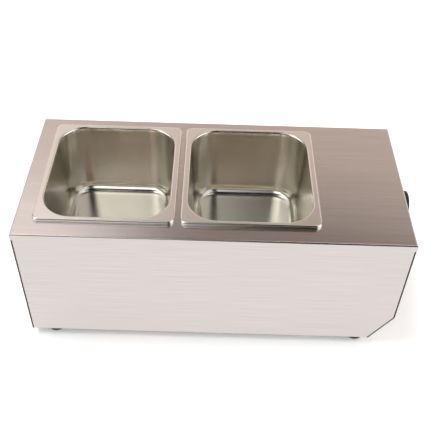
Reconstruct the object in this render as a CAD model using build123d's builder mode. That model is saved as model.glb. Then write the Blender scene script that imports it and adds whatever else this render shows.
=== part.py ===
from build123d import *
import os
from math import cos, hypot, radians, sin, tan

# Countertop chocolate warmer with two lift-out pans, in millimetres.
# +X points to the control end, -Y is the long front, +Z is up, and z = 0 is the counter.
# The origin is the middle of the footprint of the whole warmer, its knob and gland included.

os.makedirs("parts", exist_ok=True)

# Housing, folded from stainless sheet
body_depth = 215.0
shell_height = 172.0
sheet = 1.0
bend_radius = 2.0
skirt_height = 9.0
return_flange = 10.0
chamfer_run = 26.0
chamfer_rise = 42.0
control_length = 105.0

# End covers, which slide in under the skirts
cover_gap = 0.2
cover_reveal = 1.2
cover_flange = 9.0

# Base plate and feet
base_sheet = 1.0
base_inset = 1.5
foot_height = 9.0
foot_radius = 12.0
foot_taper = 1.6
foot_bore_radius = 6.0
foot_bore_depth = 4.0
foot_setback = 15.0
left_foot_inset = 28.0
right_foot_inset = 41.0
vent_length = 34.0
vent_width = 4.0
vent_pitch = 9.0
vent_count = 5

# Pans, of the catering size one sixth
rim_length = 162.0
rim_width = 176.0
rim_height = 5.0
rim_corner = 8.0
rim_bend = 2.0
rim_flange_x = 7.7
rim_flange_y = 5.8
pan_sheet = 0.8
pan_depth = 100.0
pan_draft = 3.0
pan_corner = 35.0
pan_floor_radius = 12.0
pan_gap = 6.0
pan_end_margin = 21.0
pan_front_margin = 21.7
cutout_clearance = 2.0

# Heating well under the deck
well_sheet = 0.8
well_margin = 3.0
well_drop = 14.0
well_flange = 8.0
well_corner = 10.0
well_floor_radius = 5.0

# Mica heating plates, their straps, weld studs and nuts
heater_length = 120.0
heater_width = 130.0
heater_thickness = 4.0
strap_width = 20.0
strap_sheet = 2.0
strap_pitch = 70.0
strap_overhang = 18.0
stud_radius = 2.5
stud_inset = 8.0
stud_tail = 3.0
nut_flats = 8.0
nut_height = 4.0
thread_clearance = 0.1

# Insulation, shield and grommets
wrap_thickness = 12.0
wrap_clearance = 0.3
slab_gap = 2.0
shield_sheet = 0.8
shield_foot = 14.0
shield_top_gap = 10.0
shield_side_gap = 4.0
grommet_hole_radius = 6.0
grommet_bore_radius = 3.5
grommet_lip = 2.0
grommet_lip_height = 1.5
grommet_offset = 12.0
window_width = 170.0
window_rise = 25.0
slab_corner = 4.0
shield_screw_spacing = 108.0

# Sensor bulb, capillary and cut-out on the well's end wall
bulb_radius = 3.0
bulb_length = 76.0
bulb_y = 20.0
bulb_height = 26.0
bulb_gap = 0.1
clip_sheet = 0.6
clip_width = 8.0
clip_pitch = 44.0
clip_foot = 8.0
bulb_end_radius = 1.0
capillary_radius = 0.9
capillary_bend = 9.0
capillary_drop = 8.0
cutout_disc_radius = 8.0
cutout_disc_height = 7.0
cutout_disc_round = 0.9
cutout_flange_length = 34.0
cutout_flange_width = 10.0
cutout_hole_pitch = 24.0
cutout_plate_sheet = 0.8
cutout_screw_length = 3.0
cutout_y = -48.0

# Thermostat, its shaft and its knob
knob_reach = 18.0
knob_radius = 22.0
knob_drop = 52.0
knob_y_offset = 14.6
knob_standoff = 3.6
knob_skirt_height = 4.0
knob_grip_radius = 19.5
knob_skirt_slope = 0.8
knob_grip_draft = 0.7
knob_grip_round = 1.5
knob_wall = 2.0
knob_hub_radius = 5.5
flute_count = 24
flute_radius = 1.8
flute_start = 360 / flute_count / 2
shaft_radius = 3.0
shaft_flat = 0.7
shaft_clearance = 0.05
thermostat_width = 36.0
thermostat_height = 34.0
thermostat_depth = 24.0
thermostat_corner = 3.0
thermostat_plate = 1.2
diaphragm_radius = 11.0
diaphragm_height = 3.0
diaphragm_round = 1.0
thermostat_tab_pitch = 18.0
bush_radius = 4.8
bush_proud = 1.0
shaft_socket = 10.0
thermostat_screw_length = 5.0
thermostat_screw_pitch = 28.0

# Power switch
switch_width = 15.0
switch_height = 21.0
switch_body_width = 13.0
switch_body_height = 19.0
switch_body_depth = 13.0
bezel_height = 2.0
bezel_corner = 1.0
bezel_round = 0.6
rocker_width = 10.6
rocker_height = 15.2
rocker_tilt = 10.0
rocker_pivot_depth = 1.0
rocker_crown = 3.2
rocker_side = 1.5
rocker_hub_radius = 4.0
rocker_clearance = 0.2
pivot_radius = 1.0
pivot_clearance = 0.05
pivot_length = 0.9
switch_y_offset = -48.0
switch_drop = 64.0
tab_width = 6.3
tab_thickness = 0.8
tab_length = 8.0
switch_tab_pitch = 6.0

# Indicator lamp
lamp_radius = 5.0
lamp_bezel_radius = 6.8
lamp_bezel_height = 1.6
lamp_bezel_chamfer = 0.8
lamp_lens_height = 3.4
lamp_lens_round = 2.6
lamp_body_length = 22.0
lamp_nut_height = 3.0
lamp_nut_flats = 14.0
lamp_drop = 34.0

# Cable gland in the rear panel
gland_thread_radius = 8.0
gland_flats = 19.0
gland_flange_height = 5.0
gland_collar_length = 9.0
gland_collar_radius = 7.2
gland_nut_reach = 18.0
gland_nut_gap = 0.4
gland_nut_crown = 8.0
gland_locknut_height = 4.0
gland_tail = 9.0
gland_bore_radius = 4.5
gland_seal_bore_radius = 4.0
gland_seal_radius = 6.0
gland_seal_length = 7.0
gland_end_inset = 48.0
gland_height = 34.0

# Screws
screw_radius = 2.0
screw_head_radius = 3.6
screw_head_height = 2.2
small_screw_radius = 1.5
small_screw_head_radius = 2.7
small_screw_head_height = 1.8
head_edge = 0.8
slot_width = 1.0
slot_depth = 1.0
hole_clearance = 0.15
base_screw_length = 6.0
base_screw_end_inset = 50.0
base_screws_per_side = 3
cover_screw_spacing = 110.0
foot_screw_spare = 2.0
foot_nut_flats = 7.0
foot_nut_height = 3.2

# Terminal block and earth stud, on the base plate in the control compartment
block_length = 36.0
block_width = 20.0
block_height = 14.0
block_poles = 3
block_end_inset = 62.0
block_y_offset = 46.0
block_corner = 1.2
block_row_spacing = 10.0
block_groove = 1.2
block_groove_depth = 4.5
block_screw_depth = 7.0
block_screw_length = 3.5
block_screw_radius = 2.0
block_wire_radius = 1.8
earth_y_offset = -40.0
earth_stud_length = 14.0
earth_washer_radius = 4.5
earth_washer_height = 0.8

# Sleeved wiring leads
lead_radius = 1.2
lead_bend = 6.0
lead_room = 11.0
lead_drop = 30.0
lead_insert = 2.5
lead_spacing = 3.2
lead_gap = 0.3

# Places that follow from the sizes above
body_length = pan_end_margin + 2 * rim_length + pan_gap + control_length
gland_reach = gland_nut_reach + gland_nut_gap + gland_flange_height
overall_length = body_length + knob_reach
overall_depth = body_depth + gland_reach
left_end = -overall_length / 2
right_end = left_end + body_length
front_face = -overall_depth / 2
rear_face = front_face + body_depth
mid_y = (front_face + rear_face) / 2
lower_edge = foot_height + base_sheet
deck_z = lower_edge + shell_height
skirt_z = deck_z - skirt_height
under_deck = deck_z - sheet

cover_inset = sheet + cover_gap
panel_inset = cover_inset + cover_reveal
cover_top = deck_z - bend_radius - cover_gap
cover_face = right_end - cover_inset
cover_back = cover_face - sheet

rim_top = deck_z + rim_height
opening_length = rim_length - 2 * rim_flange_x
opening_width = rim_width - 2 * rim_flange_y
cutout_length = opening_length + 2 * (pan_sheet + cutout_clearance)
cutout_width = opening_width + 2 * (pan_sheet + cutout_clearance)
cutout_corner = pan_corner + pan_sheet + cutout_clearance
pan_pitch = rim_length + pan_gap
left_pan_x = left_end + pan_end_margin + rim_length / 2
right_pan_x = left_pan_x + pan_pitch
pan_y = front_face + pan_front_margin + rim_width / 2
pan_floor = rim_top - pan_depth
pan_bottom = pan_floor - pan_sheet

well_mid_x = (left_pan_x + right_pan_x) / 2
well_length = pan_pitch + cutout_length + 2 * well_margin
well_width = cutout_width + 2 * well_margin
well_floor = pan_bottom - well_drop
well_under = well_floor - well_sheet
well_end = well_mid_x + well_length / 2 + well_sheet

strap_under = well_under - heater_thickness - strap_sheet
nut_under = strap_under - nut_height
stud_bottom = nut_under - stud_tail
strap_length = heater_width + 2 * strap_overhang
stud_spacing = strap_length - 2 * stud_inset
slab_top = stud_bottom - slab_gap
shield_x = well_end + wrap_thickness + 2 * wrap_clearance
bulb_z = well_floor + bulb_height
bulb_x = well_end + bulb_gap + bulb_radius
bulb_end = mid_y + bulb_y + bulb_length / 2

knob_y = mid_y + knob_y_offset
knob_z = deck_z - knob_drop
knob_base = cover_face + knob_standoff
knob_top = right_end + knob_reach
thermostat_face = cover_back - thermostat_plate
thermostat_back = thermostat_face - thermostat_depth
capillary_entry_z = knob_z - capillary_drop
switch_y = mid_y + switch_y_offset
switch_z = deck_z - switch_drop
lamp_z = deck_z - lamp_drop
gland_x = right_end - gland_end_inset
gland_z = lower_edge + gland_height


# The housing's outline, seen from the front
slope_length = hypot(chamfer_run, chamfer_rise)


def knee_height(inset):
    """Where the control end starts to slant, for a line that lies inset inside the outline."""
    return lower_edge + chamfer_rise + inset * (slope_length - chamfer_rise) / chamfer_run


def slant_x(inset, z):
    """X of the slanting line at height z."""
    shift = inset * slope_length / chamfer_rise
    return right_end - chamfer_run - shift + (z - lower_edge) * chamfer_run / chamfer_rise


def end_line(side, inset, top, bottom):
    """Points down one end of the housing, from top to bottom."""
    if side < 0:
        return [(left_end + inset, top), (left_end + inset, bottom)]
    knee = (right_end - inset, knee_height(inset))
    return [(right_end - inset, top), knee, (slant_x(inset, bottom), bottom)]


def housing_outline(inset, top, bottom):
    """The closed outline of the housing, inset by a distance at both ends."""
    return end_line(-1, inset, top, bottom)[::-1] + end_line(1, inset, top, bottom)


def cover_screw_places(side):
    """Where the screws come up through one end cover's bottom flange."""
    x = end_line(side, cover_inset, deck_z, lower_edge)[-1][0] - side * (sheet + cover_flange) / 2
    return [(x, mid_y + sign * cover_screw_spacing / 2) for sign in (-1, 1)]


def level_edges(piece, z):
    """The edges of a piece that lie at one height."""
    return piece.edges().filter_by_position(Axis.Z, z - 0.01, z + 0.01)


# Places of the screws
base_mid_x = (left_end + right_end - chamfer_run) / 2
base_length = body_length - chamfer_run
base_screw_spacing = (base_length - 2 * base_screw_end_inset) / (base_screws_per_side - 1)
base_screw_rows = body_depth - sheet - return_flange
flange_screw_places = [
    (left_end + base_screw_end_inset + column * base_screw_spacing, mid_y + row * base_screw_rows / 2)
    for column in range(base_screws_per_side)
    for row in (-1, 1)
]
foot_places = [
    (x, y)
    for x in (left_end + left_foot_inset, right_end - right_foot_inset)
    for y in (front_face + foot_setback, rear_face - foot_setback)
]
stud_places = [
    (pan_x + side * strap_pitch / 2, pan_y + end * stud_spacing / 2)
    for pan_x in (left_pan_x, right_pan_x)
    for side in (-1, 1)
    for end in (-1, 1)
]
shield_screw_x = shield_x + shield_sheet + shield_foot / 2
shield_screw_places = [(shield_screw_x, mid_y + sign * shield_screw_spacing / 2) for sign in (-1, 1)]
grommet_places = [
    (bulb_end + grommet_offset, bulb_z),
    (mid_y, (slab_top + well_under) / 2),
]
cutout_screw_places = [(mid_y + cutout_y + sign * cutout_hole_pitch / 2, bulb_z) for sign in (-1, 1)]
block_place = (right_end - block_end_inset, mid_y + block_y_offset)
earth_place = (right_end - block_end_inset, mid_y + earth_y_offset)
base_screw_places = [
    *flange_screw_places,
    *cover_screw_places(-1),
    *cover_screw_places(1),
    *shield_screw_places,
    block_place,
]


# Outer shell: deck, front, rear, end skirts and return flanges in one sheet
with BuildPart() as outer_shell:
    with BuildSketch(Plane.XZ.offset(-rear_face)):
        with BuildLine():
            Polyline(*housing_outline(0, deck_z, lower_edge), close=True)
        make_face()
    extrude(amount=body_depth)
    fillet(outer_shell.faces().sort_by(Axis.Z)[-1].edges(), bend_radius)
    fillet(level_edges(outer_shell, lower_edge).filter_by(Axis.X), bend_radius)
    with BuildSketch(Plane.XZ.offset(-rear_face + sheet)):
        with BuildLine():
            Polyline(*housing_outline(sheet, under_deck, lower_edge + sheet), close=True)
        make_face()
    extrude(amount=body_depth - 2 * sheet, mode=Mode.SUBTRACT)
    fillet(level_edges(outer_shell, under_deck), bend_radius - sheet)
    fillet(level_edges(outer_shell, lower_edge + sheet).filter_by(Axis.X), bend_radius - sheet)
    with BuildSketch(Plane.XZ.offset(-rear_face - sheet)):
        with BuildLine():
            Polyline(*housing_outline(-sheet, skirt_z, lower_edge - sheet), close=True)
        make_face()
        with BuildLine():
            Polyline(*housing_outline(panel_inset, deck_z, lower_edge - 2 * sheet), close=True)
        make_face(mode=Mode.SUBTRACT)
    extrude(amount=body_depth + 2 * sheet, mode=Mode.SUBTRACT)
    with BuildSketch(Plane.XY.offset(lower_edge)):
        with Locations((base_mid_x, mid_y)):
            Rectangle(body_length, body_depth - 2 * return_flange)
        with Locations(*flange_screw_places):
            Circle(screw_radius + thread_clearance)
    extrude(amount=2 * sheet, mode=Mode.SUBTRACT)
    with BuildSketch(Plane.XY.offset(deck_z)):
        with Locations((left_pan_x, pan_y), (right_pan_x, pan_y)):
            RectangleRounded(cutout_length, cutout_width, cutout_corner)
    extrude(amount=-2 * sheet, mode=Mode.SUBTRACT)
    with BuildSketch(Plane.XZ.offset(-rear_face)):
        with Locations((gland_x, gland_z)):
            Circle(gland_thread_radius + hole_clearance)
    extrude(amount=2 * sheet, mode=Mode.SUBTRACT)
outer_shell.part.label = "outer_shell"
export_step(outer_shell.part, "parts/outer_shell.step")


def end_cover(side):
    """A channel of sheet that closes one end, its front and rear flanges behind the panels."""
    channel_depth = body_depth - 2 * (sheet + cover_gap)
    flange_end = cover_inset + cover_flange
    with BuildPart() as cover:
        outer = end_line(side, cover_inset, cover_top, lower_edge)
        inner = end_line(side, flange_end, cover_top, lower_edge)
        with BuildSketch(Plane.XZ.offset(-mid_y - channel_depth / 2)):
            with BuildLine():
                Polyline(*outer, *inner[::-1], close=True)
            make_face()
        extrude(amount=channel_depth)
        outward = cover.faces().filter_by(lambda face: face.normal_at().X * side > 0.1)
        fillet(outward.edges().filter_by(Axis.Y, reverse=True), bend_radius)
        hollow = end_line(side, cover_inset + sheet, cover_top + sheet, lower_edge - sheet)
        beyond = end_line(side, flange_end + sheet, cover_top + sheet, lower_edge - sheet)
        with BuildSketch(Plane.XZ.offset(-mid_y - channel_depth / 2 + sheet)):
            with BuildLine():
                Polyline(*hollow, *beyond[::-1], close=True)
            make_face()
        extrude(amount=channel_depth - 2 * sheet, mode=Mode.SUBTRACT)
        notch = return_flange + cover_gap
        with BuildSketch(Plane.XY.offset(lower_edge)):
            with Locations((base_mid_x, mid_y)):
                Rectangle(2 * body_length, 2 * body_depth)
                Rectangle(2 * body_length, body_depth - 2 * notch, mode=Mode.SUBTRACT)
        extrude(amount=bend_radius + cover_gap, mode=Mode.SUBTRACT)
        edge_x = end_line(side, cover_inset, deck_z, lower_edge)[-1][0]
        with BuildSketch(Plane.XZ.offset(-mid_y - body_depth / 2 + notch)):
            with BuildLine():
                Polyline(
                    (edge_x, lower_edge),
                    (edge_x - side * cover_flange, lower_edge),
                    (edge_x - side * cover_flange, lower_edge + sheet),
                    (end_line(side, cover_inset, deck_z, lower_edge + sheet)[-1][0], lower_edge + sheet),
                    close=True,
                )
            make_face()
        extrude(amount=body_depth - 2 * notch)
        with BuildSketch(Plane.XY.offset(lower_edge)):
            with Locations(*cover_screw_places(side)):
                Circle(screw_radius + thread_clearance)
        extrude(amount=sheet, mode=Mode.SUBTRACT)
    return cover.part


with BuildPart() as left_end_cover:
    add(end_cover(-1))
left_end_cover.part.label = "left_end_cover"
export_step(left_end_cover.part, "parts/left_end_cover.step")

with BuildPart() as control_end_cover:
    add(end_cover(1))
    with BuildSketch(Plane.YZ.offset(cover_back)):
        with Locations((knob_y, knob_z)):
            Circle(bush_radius + hole_clearance)
            with GridLocations(thermostat_screw_pitch, 0, 2, 1):
                Circle(screw_radius + hole_clearance)
        with Locations((switch_y, switch_z)):
            Rectangle(switch_body_width + 2 * hole_clearance, switch_body_height + 2 * hole_clearance)
        with Locations((switch_y, lamp_z)):
            Circle(lamp_radius + hole_clearance)
    extrude(amount=sheet, mode=Mode.SUBTRACT)
control_end_cover.part.label = "control_end_cover"
export_step(control_end_cover.part, "parts/control_end_cover.step")


# Base plate, with vent slots under the control compartment
with BuildPart() as base_plate:
    plate_end = right_end - chamfer_run - base_inset
    vent_x = (shield_screw_x + plate_end) / 2
    with BuildSketch(Plane.XY.offset(foot_height)):
        with Locations(((left_end + base_inset + plate_end) / 2, mid_y)):
            RectangleRounded(plate_end - left_end - base_inset, body_depth - 2 * base_inset, bend_radius)
        with Locations(*foot_places, *base_screw_places, earth_place):
            Circle(screw_radius + hole_clearance, mode=Mode.SUBTRACT)
        with Locations((vent_x, mid_y)):
            with GridLocations(0, vent_pitch, 1, vent_count):
                SlotOverall(vent_length, vent_width, mode=Mode.SUBTRACT)
    extrude(amount=base_sheet)
base_plate.part.label = "base_plate"
export_step(base_plate.part, "parts/base_plate.step")


# Rubber feet, each with a recess for its screw's head
with BuildPart() as foot:
    with BuildSketch(Plane.XZ):
        with BuildLine():
            Polyline(
                (screw_radius + hole_clearance, foot_height),
                (screw_radius + hole_clearance, foot_bore_depth),
                (foot_bore_radius, foot_bore_depth),
                (foot_bore_radius, 0),
                (foot_radius - foot_taper, 0),
                (foot_radius, foot_height),
                close=True,
            )
        make_face()
    revolve(axis=Axis.Z)
    fillet(foot.faces().sort_by(Axis.Z)[0].outer_wire().edges(), foot_taper / 2)
with BuildPart() as feet:
    with Locations(*foot_places):
        add(foot.part)
feet.part.label = "feet"
export_step(feet.part, "parts/feet.step")


def tub(centre_x, size, corner, levels, floor_radius, draft_angle=0):
    """A solid tub between two levels, with rounded corners and a rounded bottom edge."""
    top, bottom = levels
    with BuildPart() as body:
        with BuildSketch(Plane.XY.offset(top)):
            with Locations((centre_x, pan_y)):
                RectangleRounded(*size, corner)
        extrude(amount=bottom - top, taper=draft_angle)
        fillet(level_edges(body, bottom), floor_radius)
    return body.part


# Pans, drawn from one sheet with a turned-down rim
def pan_tub(centre_x, wall, bottom):
    """The pan's tub as a solid, a wall's thickness outside its inner face."""
    size = (opening_length + 2 * wall, opening_width + 2 * wall)
    return tub(centre_x, size, pan_corner + wall, (rim_top, bottom), pan_floor_radius + wall, pan_draft)


def pan(centre_x):
    """One pan, hanging by its rim on the deck."""
    under_rim = rim_top - pan_sheet
    rim_inside_x = rim_length - 2 * pan_sheet
    rim_inside_y = rim_width - 2 * pan_sheet
    with BuildPart() as piece:
        with BuildSketch(Plane.XY.offset(deck_z)):
            with Locations((centre_x, pan_y)):
                RectangleRounded(rim_length, rim_width, rim_corner)
        extrude(amount=rim_height)
        fillet(piece.faces().sort_by(Axis.Z)[-1].edges(), rim_bend)
        with BuildSketch(Plane.XY.offset(deck_z)):
            with Locations((centre_x, pan_y)):
                RectangleRounded(rim_inside_x, rim_inside_y, rim_corner - pan_sheet)
        extrude(amount=rim_height - pan_sheet, mode=Mode.SUBTRACT)
        fillet(level_edges(piece, under_rim), rim_bend - pan_sheet)
        add(pan_tub(centre_x, pan_sheet, pan_bottom))
        root = piece.faces().filter_by(Axis.Z).filter_by_position(Axis.Z, under_rim - 0.01, under_rim + 0.01)
        fillet(root.sort_by(SortBy.AREA)[-1].inner_wires().edges(), rim_bend - pan_sheet)
        add(pan_tub(centre_x, 0, pan_floor), mode=Mode.SUBTRACT)
        fillet(piece.faces().filter_by(Axis.Z).sort_by(Axis.Z)[-1].inner_wires().edges(), rim_bend)
    return piece.part


with BuildPart() as pan_left:
    add(pan(left_pan_x))
pan_left.part.label = "pan_left"
export_step(pan_left.part, "parts/pan_left.step")

with BuildPart() as pan_right:
    add(pan(right_pan_x))
pan_right.part.label = "pan_right"
export_step(pan_right.part, "parts/pan_right.step")


# Heating well, welded under the deck, with studs for the heater straps
with BuildPart() as heating_well:
    well_size = (well_length, well_width)
    outer_size = (well_length + 2 * well_sheet, well_width + 2 * well_sheet)
    flange_size = (well_length + 2 * well_flange, well_width + 2 * well_flange)
    outer_corner = well_corner + well_sheet
    outer_floor_radius = well_floor_radius + well_sheet
    add(tub(well_mid_x, outer_size, outer_corner, (under_deck, well_under), outer_floor_radius))
    with BuildSketch(Plane.XY.offset(under_deck)):
        with Locations((well_mid_x, pan_y)):
            RectangleRounded(*flange_size, well_corner + well_flange)
    extrude(amount=-well_sheet)
    cavity = tub(well_mid_x, well_size, well_corner, (under_deck, well_floor), well_floor_radius)
    add(cavity, mode=Mode.SUBTRACT)
    with BuildSketch(Plane.XY.offset(well_under)):
        with Locations(*stud_places):
            Circle(stud_radius)
    extrude(amount=stud_bottom - well_under)
    with BuildSketch(Plane.YZ.offset(well_end)):
        with Locations(*cutout_screw_places):
            Circle(small_screw_radius + thread_clearance)
    extrude(amount=-2 * well_sheet, mode=Mode.SUBTRACT)
heating_well.part.label = "heating_well"
export_step(heating_well.part, "parts/heating_well.step")

with BuildPart() as heating_plates:
    with BuildSketch(Plane.XY.offset(well_under)):
        with Locations((left_pan_x, pan_y), (right_pan_x, pan_y)):
            Rectangle(heater_length, heater_width)
    extrude(amount=-heater_thickness)
heating_plates.part.label = "heating_plates"
export_step(heating_plates.part, "parts/heating_plates.step")

with BuildPart() as heater_straps:
    with BuildSketch(Plane.XY.offset(strap_under)):
        for pan_x in (left_pan_x, right_pan_x):
            with Locations((pan_x, pan_y)):
                with GridLocations(strap_pitch, 0, 2, 1):
                    SlotOverall(strap_length, strap_width, rotation=90)
        with Locations(*stud_places):
            Circle(stud_radius + thread_clearance, mode=Mode.SUBTRACT)
    extrude(amount=strap_sheet)
heater_straps.part.label = "heater_straps"
export_step(heater_straps.part, "parts/heater_straps.step")

with BuildPart() as heater_nuts:
    with BuildSketch(Plane.XY.offset(nut_under)):
        with Locations(*stud_places):
            RegularPolygon(nut_flats / 2, 6, major_radius=False)
            Circle(stud_radius + thread_clearance, mode=Mode.SUBTRACT)
    extrude(amount=nut_height)
heater_nuts.part.label = "heater_nuts"
export_step(heater_nuts.part, "parts/heater_nuts.step")


# Insulation: a slab on the base plate and a wrap round the well
with BuildPart() as insulation_slab:
    slab_left = left_end + cover_inset + cover_flange + slab_gap
    slab_right = shield_x - slab_gap
    slab_width = body_depth - 2 * (foot_setback + foot_nut_flats)
    with BuildSketch(Plane.XY.offset(lower_edge)):
        with Locations(((slab_left + slab_right) / 2, mid_y)):
            Rectangle(slab_right - slab_left, slab_width)
    extrude(amount=slab_top - lower_edge)
    fillet(insulation_slab.edges().filter_by(Axis.Z), slab_corner)
insulation_slab.part.label = "insulation_slab"
export_step(insulation_slab.part, "parts/insulation_slab.step")

with BuildPart() as insulation_wrap:
    wrap_inner = well_sheet + wrap_clearance
    wrap_outer = wrap_inner + wrap_thickness
    wrap_size = (well_length + 2 * wrap_outer, well_width + 2 * wrap_outer)
    wrap_hollow = (well_length + 2 * wrap_inner, well_width + 2 * wrap_inner)
    with BuildSketch(Plane.XY.offset(well_floor)):
        with Locations((well_mid_x, pan_y)):
            RectangleRounded(*wrap_size, well_corner + wrap_outer)
            RectangleRounded(*wrap_hollow, well_corner + wrap_inner, mode=Mode.SUBTRACT)
    extrude(amount=under_deck - well_sheet - wrap_clearance - well_floor)
    with BuildSketch(Plane.YZ.offset(well_end)):
        with Locations((mid_y, bulb_z + window_rise)):
            Rectangle(window_width, 2 * (bulb_z + window_rise - well_floor), align=(Align.CENTER, Align.MAX))
    extrude(amount=2 * wrap_outer, mode=Mode.SUBTRACT)
insulation_wrap.part.label = "insulation_wrap"
export_step(insulation_wrap.part, "parts/insulation_wrap.step")


# Heat shield between the well and the control compartment
with BuildPart() as heat_shield:
    shield_top = under_deck - shield_top_gap
    shield_width = body_depth - 2 * (sheet + shield_side_gap)
    with BuildSketch(Plane.YZ.offset(shield_x)):
        with Locations((mid_y, (lower_edge + shield_top) / 2)):
            Rectangle(shield_width, shield_top - lower_edge)
        notch_depth = return_flange - sheet - shield_side_gap + cover_gap
        with Locations(*[(mid_y + sign * shield_width / 2, lower_edge) for sign in (-1, 1)]):
            Rectangle(2 * notch_depth, 4 * sheet, mode=Mode.SUBTRACT)
        with Locations(*grommet_places):
            Circle(grommet_hole_radius, mode=Mode.SUBTRACT)
    extrude(amount=shield_sheet)
    foot_width = shield_width - 2 * notch_depth
    with BuildSketch(Plane.XY.offset(lower_edge)):
        with Locations((shield_x + shield_sheet + shield_foot / 2, mid_y)):
            Rectangle(shield_foot, foot_width)
        with Locations(*shield_screw_places):
            Circle(screw_radius + thread_clearance, mode=Mode.SUBTRACT)
    extrude(amount=shield_sheet)
heat_shield.part.label = "heat_shield"
export_step(heat_shield.part, "parts/heat_shield.step")

with BuildPart() as shield_grommets:
    lips = [shield_x - grommet_lip_height, shield_x + shield_sheet]
    for lip_x in lips:
        with BuildSketch(Plane.YZ.offset(lip_x)):
            with Locations(*grommet_places):
                Circle(grommet_hole_radius + grommet_lip)
        extrude(amount=grommet_lip_height)
    with BuildSketch(Plane.YZ.offset(shield_x)):
        with Locations(*grommet_places):
            Circle(grommet_hole_radius)
    extrude(amount=shield_sheet)
    with BuildSketch(Plane.YZ.offset(shield_x - grommet_lip_height)):
        with Locations(*grommet_places):
            Circle(grommet_bore_radius)
    extrude(amount=shield_sheet + 2 * grommet_lip_height, mode=Mode.SUBTRACT)
shield_grommets.part.label = "shield_grommets"
export_step(shield_grommets.part, "parts/shield_grommets.step")


# Sensor: a bulb on the well's end wall, brazed to the capillary that runs to the thermostat
with BuildPart() as sensor:
    with BuildSketch(Plane.XZ.offset(-bulb_end)):
        with Locations((bulb_x, bulb_z)):
            Circle(bulb_radius)
    extrude(amount=bulb_length)
    fillet(sensor.edges(), bulb_end_radius)
    capillary_x = (shield_x + thermostat_back) / 2
    capillary_y = bulb_end + grommet_offset
    with BuildLine() as capillary_route:
        FilletPolyline(
            (bulb_x, bulb_end - capillary_radius, bulb_z),
            (bulb_x, capillary_y, bulb_z),
            (capillary_x, capillary_y, bulb_z),
            (capillary_x, knob_y, capillary_entry_z),
            (thermostat_back - diaphragm_height, knob_y, capillary_entry_z),
            radius=capillary_bend,
        )
    with BuildSketch(Plane(origin=capillary_route.line @ 0, z_dir=(0, 1, 0))):
        Circle(capillary_radius)
    sweep()
sensor.part.label = "sensor"
export_step(sensor.part, "parts/sensor.step")

with BuildPart() as bulb_clips:
    clip_bore = bulb_radius + bulb_gap
    clip_outer = clip_bore + clip_sheet
    clip_leg = bulb_x - well_end
    outward = (Align.MIN, Align.CENTER)
    inward = (Align.MAX, Align.CENTER)
    for clip_sign in (-1, 1):
        clip_y = mid_y + bulb_y + clip_sign * clip_pitch / 2 - clip_width / 2
        with BuildSketch(Plane.XZ.offset(-clip_y)):
            with Locations((bulb_x, bulb_z)):
                Circle(clip_outer)
            with Locations((well_end, bulb_z)):
                Rectangle(clip_leg, 2 * clip_outer, align=outward)
                Rectangle(clip_sheet, 2 * (clip_outer + clip_foot), align=outward)
                Rectangle(clip_leg, 2 * clip_bore, align=outward, mode=Mode.SUBTRACT)
                Rectangle(clip_outer, 2 * clip_outer, align=inward, mode=Mode.SUBTRACT)
            with Locations((bulb_x, bulb_z)):
                Circle(clip_bore, mode=Mode.SUBTRACT)
        extrude(amount=-clip_width)
bulb_clips.part.label = "bulb_clips"
export_step(bulb_clips.part, "parts/bulb_clips.step")


# Over-temperature cut-out beside the bulb
with BuildPart() as heat_cutout:
    cutout_plate_face = well_end + cutout_plate_sheet
    with BuildSketch(Plane.YZ.offset(well_end)):
        with Locations((mid_y + cutout_y, bulb_z)):
            SlotOverall(cutout_flange_length, cutout_flange_width)
        with Locations(*cutout_screw_places):
            Circle(small_screw_radius + hole_clearance, mode=Mode.SUBTRACT)
    extrude(amount=cutout_plate_sheet)
    with BuildSketch(Plane.YZ.offset(cutout_plate_face)):
        with Locations((mid_y + cutout_y, bulb_z)):
            Circle(cutout_disc_radius)
    extrude(amount=cutout_disc_height)
    fillet(heat_cutout.faces().sort_by(Axis.X)[-1].edges(), cutout_disc_round)
heat_cutout.part.label = "heat_cutout"
export_step(heat_cutout.part, "parts/heat_cutout.step")


def pan_head_screw(radius, length, head_radius, head_height):
    """A slotted pan-head screw whose head hangs below z = 0 and whose shank points up."""
    with BuildPart() as screw:
        with BuildSketch(Plane.XZ):
            with BuildLine():
                TangentArc((0, -head_height), (head_radius, -head_edge), tangent=(1, 0))
                Polyline(
                    (head_radius, -head_edge),
                    (head_radius, 0),
                    (radius, 0),
                    (radius, length),
                    (0, length),
                    (0, -head_height),
                )
            make_face()
        revolve(axis=Axis.Z)
        with BuildSketch(Plane.XY.offset(-head_height)):
            Rectangle(2 * head_radius, slot_width)
        extrude(amount=slot_depth, mode=Mode.SUBTRACT)
    return screw.part


with BuildPart() as cutout_screws:
    cutout_screw = pan_head_screw(
        small_screw_radius, cutout_screw_length, small_screw_head_radius, small_screw_head_height
    )
    with Locations(*[Location((cutout_plate_face, y, z), (0, -90, 0)) for y, z in cutout_screw_places]):
        add(cutout_screw)
cutout_screws.part.label = "cutout_screws"
export_step(cutout_screws.part, "parts/cutout_screws.step")


# Thermostat behind the control end cover
with BuildPart() as thermostat_bracket:
    with BuildSketch(Plane.YZ.offset(thermostat_face)):
        with Locations((knob_y, knob_z)):
            RectangleRounded(thermostat_width, thermostat_height, thermostat_corner)
    extrude(amount=thermostat_plate)
    with BuildSketch(Plane.YZ.offset(cover_back)):
        with Locations((knob_y, knob_z)):
            Circle(bush_radius)
    extrude(amount=cover_face + bush_proud - cover_back)
    with BuildSketch(Plane.YZ.offset(thermostat_face)):
        with Locations((knob_y, knob_z)):
            Circle(shaft_radius + shaft_clearance)
            with GridLocations(thermostat_screw_pitch, 0, 2, 1):
                Circle(screw_radius + thread_clearance)
    extrude(amount=knob_base - thermostat_face, mode=Mode.SUBTRACT)
thermostat_bracket.part.label = "thermostat_bracket"
export_step(thermostat_bracket.part, "parts/thermostat_bracket.step")

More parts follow.
